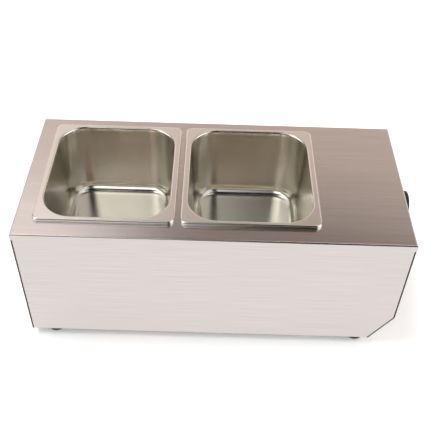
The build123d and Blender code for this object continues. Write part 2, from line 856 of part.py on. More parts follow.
with BuildPart() as thermostat_body:
    with BuildSketch(Plane.YZ.offset(thermostat_back)):
        with Locations((knob_y, knob_z)):
            RectangleRounded(thermostat_width, thermostat_height, thermostat_corner)
    extrude(amount=thermostat_depth)
    with BuildSketch(Plane.YZ.offset(thermostat_back)):
        with Locations((knob_y, knob_z)):
            Circle(diaphragm_radius)
    extrude(amount=-diaphragm_height)
    fillet(thermostat_body.faces().sort_by(Axis.X)[0].edges(), diaphragm_round)
    with BuildSketch(Plane.YZ.offset(thermostat_face)):
        with Locations((knob_y, knob_z)):
            Circle(shaft_radius + shaft_clearance)
    extrude(amount=-shaft_socket, mode=Mode.SUBTRACT)
    with BuildSketch(Plane.YZ.offset(thermostat_face)):
        with Locations((knob_y, knob_z)):
            with GridLocations(thermostat_screw_pitch, 0, 2, 1):
                Circle(screw_radius + hole_clearance)
    extrude(amount=-thermostat_screw_length, mode=Mode.SUBTRACT)
thermostat_body.part.label = "thermostat_body"
export_step(thermostat_body.part, "parts/thermostat_body.step")

with BuildPart() as thermostat_tabs:
    with BuildSketch(Plane.YZ.offset(thermostat_back)):
        with Locations((knob_y, knob_z - thermostat_height / 2 + thermostat_corner)):
            with GridLocations(thermostat_tab_pitch, 0, 2, 1):
                Rectangle(tab_width, tab_thickness)
    extrude(amount=-tab_length)
thermostat_tabs.part.label = "thermostat_tabs"
export_step(thermostat_tabs.part, "parts/thermostat_tabs.step")

with BuildPart() as thermostat_screws:
    thermostat_screw = pan_head_screw(
        screw_radius, thermostat_screw_length, screw_head_radius, screw_head_height
    )
    screw_ys = [knob_y + sign * thermostat_screw_pitch / 2 for sign in (-1, 1)]
    with Locations(*[Location((cover_face, y, knob_z), (0, -90, 0)) for y in screw_ys]):
        add(thermostat_screw)
thermostat_screws.part.label = "thermostat_screws"
export_step(thermostat_screws.part, "parts/thermostat_screws.step")

with BuildPart() as thermostat_shaft:
    shaft_start = thermostat_face - shaft_socket + hole_clearance
    shaft_end = knob_top - knob_wall - hole_clearance
    with BuildSketch(Plane.YZ.offset(shaft_start)):
        with Locations((knob_y, knob_z)):
            Circle(shaft_radius)
    extrude(amount=shaft_end - shaft_start)
    with BuildSketch(Plane.YZ.offset(knob_base)):
        with Locations((knob_y, knob_z + shaft_radius - shaft_flat)):
            Rectangle(2 * shaft_radius, 2 * shaft_flat, align=(Align.CENTER, Align.MIN))
    extrude(amount=knob_reach, mode=Mode.SUBTRACT)
    chamfer(thermostat_shaft.faces().sort_by(Axis.X)[0].edges(), shaft_flat / 2)
thermostat_shaft.part.label = "thermostat_shaft"
export_step(thermostat_shaft.part, "parts/thermostat_shaft.step")


# Knob: a skirt with the scale and a fluted grip, moulded hollow round a hub
with BuildPart() as control_knob:
    skirt_top = knob_base + knob_skirt_height
    with BuildSketch(Plane(origin=(0, knob_y, knob_z), x_dir=(1, 0, 0), z_dir=(0, -1, 0))):
        with BuildLine():
            Polyline(
                (knob_base, 0),
                (knob_base, knob_radius),
                (skirt_top - knob_skirt_slope, knob_radius),
                (skirt_top, knob_radius - knob_skirt_slope),
                (skirt_top, knob_grip_radius),
                (knob_top, knob_grip_radius - knob_grip_draft),
                (knob_top, 0),
                close=True,
            )
        make_face()
    knob_axis = Axis((0, knob_y, knob_z), (1, 0, 0))
    revolve(axis=knob_axis)
    fillet(control_knob.faces().sort_by(Axis.X)[-1].edges(), knob_grip_round)
    with BuildSketch(Plane.YZ.offset(skirt_top)):
        with Locations((knob_y, knob_z)):
            with PolarLocations(knob_grip_radius + flute_radius / 2, flute_count, flute_start):
                Circle(flute_radius)
    extrude(amount=knob_reach, mode=Mode.SUBTRACT)
    with BuildSketch(Plane.YZ.offset(knob_base)):
        with Locations((knob_y, knob_z)):
            Circle(knob_radius - knob_wall)
            Circle(knob_hub_radius, mode=Mode.SUBTRACT)
    extrude(amount=knob_skirt_height - knob_skirt_slope - knob_wall / 2, mode=Mode.SUBTRACT)
    with BuildSketch(Plane.YZ.offset(knob_base)):
        with Locations((knob_y, knob_z)):
            Circle(knob_grip_radius - flute_radius - knob_wall)
            Circle(knob_hub_radius, mode=Mode.SUBTRACT)
    extrude(amount=knob_top - knob_wall - knob_base, mode=Mode.SUBTRACT)
    with BuildSketch(Plane.YZ.offset(knob_base)):
        with Locations((knob_y, knob_z)):
            Circle(shaft_radius + shaft_clearance)
        with Locations((knob_y, knob_z + shaft_radius - shaft_flat + shaft_clearance)):
            Rectangle(3 * shaft_radius, 3 * shaft_flat, align=(Align.CENTER, Align.MIN), mode=Mode.SUBTRACT)
    extrude(amount=knob_top - knob_wall - knob_base, mode=Mode.SUBTRACT)
control_knob.part.label = "control_knob"
export_step(control_knob.part, "parts/control_knob.step")


# Power switch: a housing snapped into the cover, and a rocker on two moulded pivots
rocker_plane = Plane(
    origin=(cover_face - rocker_pivot_depth, switch_y, switch_z),
    x_dir=(cos(radians(rocker_tilt)), 0, -sin(radians(rocker_tilt))),
    z_dir=(0, -1, 0),
)
rocker_half = rocker_height / 2
rocker_edge = rocker_crown + rocker_half * tan(radians(rocker_tilt))
rocker_sweep = rocker_half * cos(radians(rocker_tilt)) + rocker_edge * sin(radians(rocker_tilt))

with BuildPart() as switch_housing:
    with BuildSketch(Plane.YZ.offset(cover_face)):
        with Locations((switch_y, switch_z)):
            RectangleRounded(switch_width, switch_height, bezel_corner)
    extrude(amount=bezel_height)
    fillet(switch_housing.faces().sort_by(Axis.X)[-1].edges(), bezel_round)
    with BuildSketch(Plane.YZ.offset(cover_face)):
        with Locations((switch_y, switch_z)):
            Rectangle(switch_body_width, switch_body_height)
    extrude(amount=-switch_body_depth)
    with BuildSketch(Plane.YZ.offset(cover_face + bezel_height)):
        with Locations((switch_y, switch_z)):
            Rectangle(rocker_width + 2 * rocker_clearance, 2 * (rocker_sweep + rocker_clearance))
    cavity_depth = bezel_height + rocker_pivot_depth + rocker_hub_radius + rocker_clearance
    extrude(amount=-cavity_depth, mode=Mode.SUBTRACT)
    with BuildSketch(Plane.XZ.offset(-switch_y)):
        with Locations((cover_face - rocker_pivot_depth, switch_z)):
            Circle(pivot_radius + pivot_clearance)
    extrude(amount=switch_body_width, both=True, mode=Mode.SUBTRACT)
switch_housing.part.label = "switch_housing"
export_step(switch_housing.part, "parts/switch_housing.step")

with BuildPart() as switch_rocker:
    with BuildSketch(rocker_plane):
        with BuildLine():
            Polyline(
                (rocker_side, -rocker_half),
                (rocker_edge, -rocker_half),
                (rocker_crown, 0),
                (rocker_edge, rocker_half),
                (rocker_side, rocker_half),
                close=True,
            )
        make_face()
        Circle(rocker_hub_radius)
    extrude(amount=rocker_width / 2, both=True)
    with BuildSketch(rocker_plane):
        Circle(pivot_radius)
    extrude(amount=rocker_width / 2 + pivot_length, both=True)
switch_rocker.part.label = "switch_rocker"
export_step(switch_rocker.part, "parts/switch_rocker.step")

with BuildPart() as switch_tabs:
    with BuildSketch(Plane.YZ.offset(cover_face - switch_body_depth)):
        with Locations((switch_y, switch_z)):
            with GridLocations(0, switch_tab_pitch, 1, 3):
                Rectangle(tab_width, tab_thickness)
    extrude(amount=-tab_length)
switch_tabs.part.label = "switch_tabs"
export_step(switch_tabs.part, "parts/switch_tabs.step")


# Indicator lamp above the switch
with BuildPart() as lamp_body:
    with BuildSketch(Plane.YZ.offset(cover_face)):
        with Locations((switch_y, lamp_z)):
            Circle(lamp_radius)
    extrude(amount=-lamp_body_length)
    with BuildSketch(Plane.YZ.offset(cover_face)):
        with Locations((switch_y, lamp_z)):
            Circle(lamp_bezel_radius)
    extrude(amount=lamp_bezel_height)
    chamfer(lamp_body.faces().sort_by(Axis.X)[-1].edges(), lamp_bezel_chamfer)
lamp_body.part.label = "lamp_body"
export_step(lamp_body.part, "parts/lamp_body.step")

with BuildPart() as lamp_lens:
    with BuildSketch(Plane.YZ.offset(cover_face + lamp_bezel_height)):
        with Locations((switch_y, lamp_z)):
            Circle(lamp_radius)
    extrude(amount=lamp_lens_height)
    fillet(lamp_lens.faces().sort_by(Axis.X)[-1].edges(), lamp_lens_round)
lamp_lens.part.label = "lamp_lens"
export_step(lamp_lens.part, "parts/lamp_lens.step")

with BuildPart() as lamp_nut:
    with BuildSketch(Plane.YZ.offset(cover_back)):
        with Locations((switch_y, lamp_z)):
            RegularPolygon(lamp_nut_flats / 2, 6, major_radius=False)
            Circle(lamp_radius + thread_clearance, mode=Mode.SUBTRACT)
    extrude(amount=-lamp_nut_height)
lamp_nut.part.label = "lamp_nut"
export_step(lamp_nut.part, "parts/lamp_nut.step")


# Cable gland in the rear panel: body, locknut inside, seal and dome nut outside
gland_axis = Axis((gland_x, 0, gland_z), (0, 1, 0))
gland_plane = Plane(origin=(gland_x, 0, gland_z), x_dir=(0, 1, 0), z_dir=(-1, 0, 0))
collar_end = rear_face + gland_flange_height + gland_collar_length
nut_start = rear_face + gland_flange_height + gland_nut_gap
nut_end = rear_face + gland_reach
gland_dome_radius = gland_flats / 2 / cos(radians(30)) + gland_nut_gap

with BuildPart() as gland_body:
    with BuildSketch(Plane.XZ.offset(-rear_face)):
        with Locations((gland_x, gland_z)):
            RegularPolygon(gland_flats / 2, 6, major_radius=False)
    extrude(amount=-gland_flange_height)
    with BuildSketch(Plane.XZ.offset(-rear_face)):
        with Locations((gland_x, gland_z)):
            Circle(gland_thread_radius)
    extrude(amount=gland_tail)
    with BuildSketch(Plane.XZ.offset(-rear_face)):
        with Locations((gland_x, gland_z)):
            Circle(gland_collar_radius)
    extrude(amount=rear_face - collar_end)
    with BuildSketch(Plane.XZ.offset(-rear_face)):
        with Locations((gland_x, gland_z)):
            Circle(gland_bore_radius)
    extrude(amount=gland_reach, both=True, mode=Mode.SUBTRACT)
    with BuildSketch(Plane.XZ.offset(-collar_end)):
        with Locations((gland_x, gland_z)):
            Circle(gland_seal_radius)
    extrude(amount=gland_seal_length, mode=Mode.SUBTRACT)
gland_body.part.label = "gland_body"
export_step(gland_body.part, "parts/gland_body.step")

with BuildPart() as gland_seal:
    with BuildSketch(Plane.XZ.offset(-collar_end)):
        with Locations((gland_x, gland_z)):
            Circle(gland_seal_radius - thread_clearance)
            Circle(gland_seal_bore_radius, mode=Mode.SUBTRACT)
    extrude(amount=gland_seal_length)
gland_seal.part.label = "gland_seal"
export_step(gland_seal.part, "parts/gland_seal.step")

with BuildPart() as gland_nut:
    with BuildSketch(Plane.XZ.offset(-nut_start)):
        with Locations((gland_x, gland_z)):
            RegularPolygon(gland_flats / 2, 6, major_radius=False)
    extrude(amount=nut_start - nut_end)
    with BuildSketch(gland_plane):
        with BuildLine():
            Polyline(
                (nut_end, gland_bore_radius + thread_clearance),
                (nut_end, 0),
                (nut_start, 0),
                (nut_start, gland_flats),
                (nut_end - gland_nut_crown, gland_flats),
                (nut_end - gland_nut_crown, gland_dome_radius),
            )
            RadiusArc(
                (nut_end - gland_nut_crown, gland_dome_radius),
                (nut_end, gland_bore_radius + thread_clearance),
                gland_nut_crown,
            )
        make_face()
    revolve(axis=gland_axis, mode=Mode.INTERSECT)
    with BuildSketch(Plane.XZ.offset(-nut_start)):
        with Locations((gland_x, gland_z)):
            Circle(gland_collar_radius + thread_clearance)
    extrude(amount=nut_start - collar_end - thread_clearance, mode=Mode.SUBTRACT)
    with BuildSketch(Plane.XZ.offset(-nut_start)):
        with Locations((gland_x, gland_z)):
            Circle(gland_bore_radius)
    extrude(amount=-gland_reach, mode=Mode.SUBTRACT)
gland_nut.part.label = "gland_nut"
export_step(gland_nut.part, "parts/gland_nut.step")

with BuildPart() as gland_locknut:
    with BuildSketch(Plane.XZ.offset(-rear_face + sheet)):
        with Locations((gland_x, gland_z)):
            RegularPolygon(gland_flats / 2, 6, major_radius=False)
            Circle(gland_thread_radius + thread_clearance, mode=Mode.SUBTRACT)
    extrude(amount=gland_locknut_height)
gland_locknut.part.label = "gland_locknut"
export_step(gland_locknut.part, "parts/gland_locknut.step")


# Screws and nuts of the base plate and the feet
with BuildPart() as base_screws:
    base_screw = pan_head_screw(screw_radius, base_screw_length, screw_head_radius, screw_head_height)
    with Locations(*[(x, y, foot_height) for x, y in base_screw_places]):
        add(base_screw)
base_screws.part.label = "base_screws"
export_step(base_screws.part, "parts/base_screws.step")

with BuildPart() as foot_screws:
    foot_screw_length = foot_height - foot_bore_depth + base_sheet + foot_nut_height + foot_screw_spare
    foot_screw = pan_head_screw(screw_radius, foot_screw_length, screw_head_radius, screw_head_height)
    with Locations(*[(x, y, foot_bore_depth) for x, y in foot_places]):
        add(foot_screw)
foot_screws.part.label = "foot_screws"
export_step(foot_screws.part, "parts/foot_screws.step")

with BuildPart() as foot_nuts:
    with BuildSketch(Plane.XY.offset(lower_edge)):
        with Locations(*foot_places):
            RegularPolygon(foot_nut_flats / 2, 6, major_radius=False)
            Circle(screw_radius + thread_clearance, mode=Mode.SUBTRACT)
    extrude(amount=foot_nut_height)
foot_nuts.part.label = "foot_nuts"
export_step(foot_nuts.part, "parts/foot_nuts.step")


# Terminal block, with a pair of screws for each pole
block_x, block_y = block_place
pole_pitch = block_length / block_poles
with BuildPart() as terminal_block:
    with BuildSketch(Plane.XY.offset(lower_edge)):
        with Locations(block_place):
            RectangleRounded(block_width, block_length, block_corner)
    extrude(amount=block_height)
    with BuildSketch(Plane.XY.offset(lower_edge + block_height)):
        with Locations(block_place):
            with GridLocations(0, pole_pitch, 1, block_poles - 1):
                Rectangle(block_width, block_groove)
    extrude(amount=-block_groove_depth, mode=Mode.SUBTRACT)
    with BuildSketch(Plane.XY.offset(lower_edge + block_height)):
        with Locations(block_place):
            with GridLocations(block_row_spacing, pole_pitch, 2, block_poles):
                Circle(block_screw_radius + hole_clearance)
    extrude(amount=-block_screw_depth, mode=Mode.SUBTRACT)
    with BuildSketch(Plane.YZ.offset(block_x - block_width / 2)):
        with Locations((block_y, lower_edge + block_height / 2)):
            with GridLocations(pole_pitch, 0, block_poles, 1):
                Circle(block_wire_radius)
    extrude(amount=block_width, mode=Mode.SUBTRACT)
    with BuildSketch(Plane.XY.offset(lower_edge)):
        with Locations(block_place):
            Circle(screw_radius + thread_clearance)
    extrude(amount=base_screw_length - base_sheet + hole_clearance, mode=Mode.SUBTRACT)
terminal_block.part.label = "terminal_block"
export_step(terminal_block.part, "parts/terminal_block.step")

with BuildPart() as terminal_screws:
    screw_floor = lower_edge + block_height - block_screw_depth
    with BuildSketch(Plane.XY.offset(screw_floor)):
        with Locations(block_place):
            with GridLocations(block_row_spacing, pole_pitch, 2, block_poles):
                Circle(block_screw_radius)
    extrude(amount=block_screw_length)
    with BuildSketch(Plane.XY.offset(screw_floor + block_screw_length)):
        with Locations(block_place):
            with GridLocations(block_row_spacing, pole_pitch, 2, block_poles):
                Rectangle(2 * block_screw_radius, slot_width)
    extrude(amount=-slot_depth, mode=Mode.SUBTRACT)
terminal_screws.part.label = "terminal_screws"
export_step(terminal_screws.part, "parts/terminal_screws.step")


# Earth stud beside it
with BuildPart() as earth_stud:
    with Locations((*earth_place, foot_height)):
        add(pan_head_screw(screw_radius, earth_stud_length, screw_head_radius, screw_head_height))
earth_stud.part.label = "earth_stud"
export_step(earth_stud.part, "parts/earth_stud.step")

with BuildPart() as earth_nut:
    with BuildSketch(Plane.XY.offset(lower_edge)):
        with Locations(earth_place):
            Circle(earth_washer_radius)
            Circle(screw_radius + thread_clearance, mode=Mode.SUBTRACT)
    extrude(amount=earth_washer_height)
    with BuildSketch(Plane.XY.offset(lower_edge + earth_washer_height)):
        with Locations(earth_place):
            RegularPolygon(foot_nut_flats / 2, 6, major_radius=False)
            Circle(screw_radius + thread_clearance, mode=Mode.SUBTRACT)
    extrude(amount=foot_nut_height)
earth_nut.part.label = "earth_nut"
export_step(earth_nut.part, "parts/earth_nut.step")


# Wiring leads, pushed on the tabs, clamped in the terminal block and led through a grommet
def lead(*points):
    """One sleeved lead: straight runs joined by tangent bends."""
    with BuildPart() as wire:
        with BuildLine() as route:
            FilletPolyline(*points, radius=lead_bend)
        with BuildSketch(Plane(origin=route.line @ 0, z_dir=route.line % 0)):
            Circle(lead_radius)
        sweep()
    return wire.part


switch_tab_end = cover_face - switch_body_depth - tab_length
thermostat_tab_end = thermostat_back - tab_length
thermostat_tab_z = knob_z - thermostat_height / 2 + thermostat_corner
lamp_end = cover_face - lamp_body_length
heater_end = right_pan_x + heater_length / 2
heater_z = well_under - heater_thickness / 2
grommet_y, grommet_z = grommet_places[1]
wire_z = lower_edge + block_height / 2
block_right = block_x + block_width / 2 - lead_insert
block_left = block_x - block_width / 2 + lead_insert
earth_x, earth_y = earth_place


def heater_route(x, sign):
    """From the control compartment at x, through the grommet, to the edge of the right heating plate."""
    y = grommet_y + sign * lead_spacing / 2
    return [
        (x, y, grommet_z),
        ((heater_end + shield_x) / 2, y, grommet_z),
        (heater_end + lead_bend, y, heater_z),
        (heater_end, y, heater_z),
    ]


supply_lead = lead(
    (switch_tab_end, switch_y, switch_z - switch_tab_pitch),
    (switch_tab_end - lead_room, switch_y, switch_z - switch_tab_pitch),
    (switch_tab_end - lead_room, switch_y, lower_edge + lead_drop),
    (switch_tab_end - lead_room, block_y - pole_pitch, wire_z),
    (block_right, block_y - pole_pitch, wire_z),
)
switched_lead = lead(
    (switch_tab_end, switch_y, switch_z),
    (switch_tab_end - 2 * lead_room, switch_y, switch_z),
    (switch_tab_end - 2 * lead_room, knob_y - thermostat_tab_pitch / 2, thermostat_tab_z),
    (thermostat_tab_end, knob_y - thermostat_tab_pitch / 2, thermostat_tab_z),
)
lamp_lead = lead(
    (lamp_end, switch_y, lamp_z),
    (lamp_end - lead_room, switch_y, lamp_z),
    (lamp_end - lead_room, switch_y, switch_z + switch_tab_pitch),
    (switch_tab_end, switch_y, switch_z + switch_tab_pitch),
)
heater_lead = lead(
    (thermostat_tab_end, knob_y + thermostat_tab_pitch / 2, thermostat_tab_z),
    (thermostat_tab_end - lead_room, knob_y + thermostat_tab_pitch / 2, thermostat_tab_z),
    *heater_route(shield_x + 2 * lead_room, -1),
)
neutral_lead = lead(
    (block_left, block_y, wire_z),
    (block_left - lead_room, block_y, wire_z),
    *heater_route(block_left - lead_room, 1),
)
earth_lead = lead(
    (block_left, block_y + pole_pitch, wire_z),
    (shield_screw_x, block_y + pole_pitch, wire_z),
    (shield_screw_x, earth_y, wire_z),
    (earth_x - screw_radius - lead_gap, earth_y, wire_z),
)
leads = [supply_lead, switched_lead, lamp_lead, heater_lead, neutral_lead, earth_lead]
with BuildPart() as wiring_leads:
    add(leads)
wiring_leads.part.label = "wiring_leads"
export_step(wiring_leads.part, "parts/wiring_leads.step")
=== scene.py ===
"""A countertop chocolate warmer in brushed stainless steel, with two lift-out pans.

Everything is in metres, in the part's own frame: +X to the control end, -Y to the long front, +Z up.
"""
import math

import bmesh
import bpy
from mathutils import Matrix, Quaternion, Vector


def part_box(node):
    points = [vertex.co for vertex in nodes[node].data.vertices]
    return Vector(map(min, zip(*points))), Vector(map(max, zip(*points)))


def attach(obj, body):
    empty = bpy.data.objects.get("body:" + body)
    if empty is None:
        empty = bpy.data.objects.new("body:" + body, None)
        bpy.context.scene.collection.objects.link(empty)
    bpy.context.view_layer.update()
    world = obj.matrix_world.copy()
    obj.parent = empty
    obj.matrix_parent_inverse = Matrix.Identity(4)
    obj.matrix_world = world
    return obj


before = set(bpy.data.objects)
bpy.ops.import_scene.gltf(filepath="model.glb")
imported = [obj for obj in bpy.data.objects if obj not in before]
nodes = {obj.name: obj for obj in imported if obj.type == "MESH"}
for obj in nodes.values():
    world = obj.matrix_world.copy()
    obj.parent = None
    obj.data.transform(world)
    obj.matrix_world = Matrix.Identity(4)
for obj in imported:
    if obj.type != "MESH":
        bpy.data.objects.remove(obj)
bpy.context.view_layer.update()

MM = 0.001
shell_low, shell_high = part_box("outer_shell")

# The photograph's camera, as fitted to the corners of the deck, the front and the rims
photo_side = 430
focal_pixels = 700.7
sensor_width = 36.0
camera_offset = Vector((-3.33, -643.69, 563.74)) * MM
camera_drop = math.radians(44.34)
camera_yaw = math.radians(0.395)
camera_roll = math.radians(1.964)

# A noise node's values lie mostly between these two.
noise_range = (0.3, 0.7)

# A Mix node has sockets of each kind: its share, then its two numbers, and further on its two colours.
mix_share = 0
number_a, number_b = 2, 3
colour_a, colour_b = 6, 7
mixed_colour = 2


def linear(hex_colour):
    """An sRGB hex colour as linear red, green, blue and alpha."""
    values = [int(hex_colour[i : i + 2], 16) / 255 for i in (1, 3, 5)]
    return [v / 12.92 if v <= 0.04045 else ((v + 0.055) / 1.055) ** 2.4 for v in values] + [1.0]


def new_object(name, data):
    """An object in the scene that shows this data."""
    made = bpy.data.objects.new(name, data)
    bpy.context.scene.collection.objects.link(made)
    return made


def empty_tree(owner):
    """The node tree of a material or world, emptied."""
    owner.use_nodes = True
    owner.node_tree.nodes.clear()
    return owner.node_tree


def node(tree, kind, inputs=(), **settings):
    """Adds a shader node with its settings and links.

    The inputs go by position, or by name or number in a dict. Each is a value, an output that feeds it, or a
    node whose first output does.
    """
    made = tree.nodes.new("ShaderNode" + kind)
    for name, value in settings.items():
        setattr(made, name, value)
    placed = inputs if isinstance(inputs, dict) else dict(enumerate(inputs))
    for key, value in placed.items():
        if isinstance(value, bpy.types.Node):
            value = value.outputs[0]
        if isinstance(value, bpy.types.NodeSocket):
            tree.links.new(value, made.inputs[key])
        else:
            made.inputs[key].default_value = value
    return made


def stretched_noise(tree, size_mm, detail, roughness=0.5):
    """Noise whose grains are size_mm long along X, Y and Z of the frame."""
    place = node(tree, "TexCoord").outputs["Object"]
    scale = [1 / (length * MM) for length in size_mm]
    mapped = node(tree, "Mapping", {"Vector": place, "Scale": scale})
    return node(tree, "TexNoise", {"Vector": mapped, "Scale": 1.0, "Detail": detail, "Roughness": roughness})


def uneven_finish(tree, tone, gloss, dark, light, roughness, spread):
    """A colour from dark to light with one noise, and a roughness that varies by spread with another."""
    colour = node(tree, "ValToRGB", (tone,))
    for stop, position, hex_colour in zip(colour.color_ramp.elements, noise_range, (dark, light)):
        stop.position = position
        stop.color = linear(hex_colour)
    varied = node(tree, "MapRange", (gloss, *noise_range, roughness - spread, roughness + spread))
    return colour, varied


def place_share(tree, axis, start, end, place=None):
    """From 0 to 1, as a surface's place along one axis of the frame goes from start to end."""
    place = place or node(tree, "TexCoord").outputs["Object"]
    parts = node(tree, "SeparateXYZ", (place,))
    return node(tree, "MapRange", (parts.outputs[axis], start, end, 0.0, 1.0))


# Printed marks: white ink with an edge this soft
print_white = "#E4E2DC"
print_softness = 0.1 * MM


def inside_box(tree, low, high, middle=(0.0, 0.0, 0.0), turn=0.0):
    """1 inside a box of the frame, and 0 outside it. The box turns about an axis along X through middle."""
    place = node(tree, "TexCoord").outputs["Object"]
    turned = node(
        tree, "VectorRotate", {"Vector": place, "Center": middle, "Angle": -turn}, rotation_type="X_AXIS"
    )
    share = 1.0
    for axis, start, end in zip("XYZ", low, high):
        for limit, outside in ((start, start - print_softness), (end, end + print_softness)):
            part = place_share(tree, axis, outside, limit, turned.outputs[0])
            share = node(tree, "Math", (share, part), operation="MULTIPLY")
    return share


def inside_ring(tree, middle, inner, outer):
    """1 in a ring round an axis along X, and 0 elsewhere."""
    place = node(tree, "TexCoord").outputs["Object"]
    flat = node(tree, "VectorMath", (place, (0.0, 1.0, 1.0)), operation="MULTIPLY")
    away = node(tree, "VectorMath", (flat, (0.0, *middle[1:])), operation="DISTANCE").outputs["Value"]
    past_inner = node(tree, "MapRange", (away, inner - print_softness, inner, 0.0, 1.0))
    before_outer = node(tree, "MapRange", (away, outer + print_softness, outer, 0.0, 1.0))
    return node(tree, "Math", (past_inner, before_outer), operation="MULTIPLY")


# Brushed stainless steel: belt-ground sheet. Its long fine scratches smear reflections across the grain.
# The scratches are near 0.1 mm wide, and drawn 0.8 mm wide here, so that they show at this size.
scratch_width = 0.8
scratch_length = 90.0
patch_width = 30.0
patch_length = 220.0


def brushed_stainless(name, grain_axis, across, roughness):
    """Sheet ground along one axis, with its reflections smeared across the grain."""
    material = bpy.data.materials.new(name)
    tree = empty_tree(material)
    streak = [scratch_length if axis == grain_axis else scratch_width for axis in "XYZ"]
    patch = [patch_length if axis == grain_axis else patch_width for axis in "XYZ"]
    fine = stretched_noise(tree, streak, detail=2.0, roughness=0.6)
    broad = stretched_noise(tree, patch, detail=2.0)
    colour, varied = uneven_finish(tree, fine, broad, "#D8D0CD", "#E3DCD9", roughness, spread=0.02)
    shader = node(tree, "BsdfPrincipled", {
        "Base Color": colour,
        "Metallic": 1.0,
        "Roughness": varied,
        "Anisotropic": 0.4,
        "Tangent": node(tree, "CombineXYZ", across),
    })
    node(tree, "OutputMaterial", {"Surface": shader})
    return material


def plain_metal(name, dark, light, roughness, grain_mm=3.0, spread=0.05):
    """Metal with no direction in its finish, a little uneven in tone and gloss."""
    material = bpy.data.materials.new(name)
    tree = empty_tree(material)
    cloud = stretched_noise(tree, [grain_mm] * 3, detail=3.0)
    colour, varied = uneven_finish(tree, cloud, cloud, dark, light, roughness, spread)
    shader = node(tree, "BsdfPrincipled", {"Base Color": colour, "Metallic": 1.0, "Roughness": varied})
    node(tree, "OutputMaterial", {"Surface": shader})
    return material


def moulded(name, dark, light, roughness, ior, grain_mm, depth_mm=0.02, boxes=(), rings=()):
    """Moulded plastic or rubber with a fine texture from its tool, and marks printed in boxes and rings."""
    material = bpy.data.materials.new(name)
    tree = empty_tree(material)
    grain = stretched_noise(tree, [grain_mm] * 3, detail=2.0)
    colour, varied = uneven_finish(tree, grain, grain, dark, light, roughness, spread=0.05)
    marks = [inside_box(tree, *box) for box in boxes] + [inside_ring(tree, *ring) for ring in rings]
    for mark in marks:
        under_and_over = {mix_share: mark, colour_a: colour, colour_b: linear(print_white)}
        colour = node(tree, "Mix", under_and_over, data_type="RGBA").outputs[mixed_colour]
    shader = node(tree, "BsdfPrincipled", {
        "Base Color": colour,
        "Roughness": varied,
        "IOR": ior,
        "Normal": node(tree, "Bump", {"Height": grain, "Strength": 0.2, "Distance": depth_mm * MM}),
    })
    node(tree, "OutputMaterial", {"Surface": shader})
    return material


housing_steel = brushed_stainless("brushed_stainless_sheet", "X", across=(0.0, 1.0, 1.0), roughness=0.22)
end_steel = brushed_stainless("brushed_stainless_end", "Z", across=(0.0, 1.0, 0.0), roughness=0.24)


# Drawn stainless steel, coloured by height: near white on the floor, darker on the walls, paler round the
# rim's bends, and near white again on the rim's flat top. The near-white floor is painted light, as if lit
# from overhead, and the rim's pale flat top is a painted highlight. The walls have a rougher satin, the
# bends are polished, and the ground flat top is duller than the polished bends round it.
wall_start = 9 * MM  # above the pan's underside
wall_end = 14 * MM
bend_start = 6 * MM  # below the rim's top
bend_end = 4 * MM
flat_start = 0.3 * MM
flat_end = 0.1 * MM
satin_grain = (30.0, 30.0, 60.0)
satin_range = (0.235, 0.265)


def drawn_stainless(name, low, high):
    """A drawn pan's steel, from the height of its underside to that of its rim."""
    material = bpy.data.materials.new(name)
    tree = empty_tree(material)
    cloud = stretched_noise(tree, satin_grain, detail=1.0)
    satin = node(tree, "MapRange", (cloud, *noise_range, *satin_range))
    # The floor's near-white colour is painted light, brighter as if lit from overhead.
    colour = linear("#FCFDF5")
    roughness = 0.2
    for start, end, next_colour, next_roughness in (
        (low + wall_start, low + wall_end, "#CDC6BB", satin),
        (high - bend_start, high - bend_end, "#E8E3DE", 0.14),
        # The rim's flat top: a painted highlight, paler as if catching the light.
        (high - flat_start, high - flat_end, "#F8F2ED", 0.3),
    ):
        share = place_share(tree, "Z", start, end)
        below_and_above = {mix_share: share, colour_a: colour, colour_b: linear(next_colour)}
        colour = node(tree, "Mix", below_and_above, data_type="RGBA").outputs[mixed_colour]
        roughness = node(tree, "Mix", {mix_share: share, number_a: roughness, number_b: next_roughness})
    shader = node(tree, "BsdfPrincipled", {"Base Color": colour, "Metallic": 1.0, "Roughness": roughness})
    node(tree, "OutputMaterial", {"Surface": shader})
    return material


pan_low, pan_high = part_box("pan_left")
pan_steel = drawn_stainless("drawn_stainless", pan_low[2], pan_high[2])

# Stainless sheet as rolled, for the well
rolled_steel = plain_metal("rolled_stainless", "#C9C8C4", "#D3D2CE", roughness=0.33)

# Galvanised sheet, hot dipped: its zinc has large dull crystals
galvanised = plain_metal("galvanised_steel", "#A9ACAE", "#BDC0C2", roughness=0.42, grain_mm=8.0, spread=0.1)

# Bright zinc plate on turned fasteners
zinc = plain_metal("zinc_plated_steel", "#BFC1C4", "#CFD1D4", roughness=0.25)

# Stamped and turned brass, slightly tarnished
brass = plain_metal("brass", "#B79A55", "#CDB06A", roughness=0.3)

# Drawn copper tube, dulled by handling
copper = plain_metal("copper_tube", "#B0714F", "#C98A63", roughness=0.32)

# Moulded nitrile rubber feet: black and dull
rubber = moulded("nitrile_rubber", "#131313", "#1C1C1C", roughness=0.62, ior=1.52, grain_mm=0.8)

# Moulded phenolic: near black, with a slight gloss, for the heat-proof cases and the knob. The knob has a
# white line printed on its face, which points to the dial's 0 at rest.
phenolic = moulded("black_phenolic", "#0E0E0F", "#161617", roughness=0.34, ior=1.6, grain_mm=0.5)
knob_low, knob_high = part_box("control_knob")
knob_y = (knob_low[1] + knob_high[1]) / 2
knob_z = (knob_low[2] + knob_high[2]) / 2
dial_turn = math.radians(270)
dial_start = math.radians(225)  # counted from +Y, as seen from the control end
pointer_width = 1.4 * MM
pointer_start = 8 * MM
pointer_end = 22 * MM
mark_depth = 2 * MM
mark_height = 1 * MM
pointer = (
    (knob_high[0] - mark_depth, knob_y - pointer_width / 2, knob_z + pointer_start),
    (knob_high[0] + mark_height, knob_y + pointer_width / 2, knob_z + pointer_end),
    (0.0, knob_y, knob_z),
    dial_start - math.radians(90),
)
knob_plastic = moulded(
    "knob_phenolic", "#0E0E0F", "#161617", roughness=0.34, ior=1.6, grain_mm=0.5, boxes=[pointer]
)

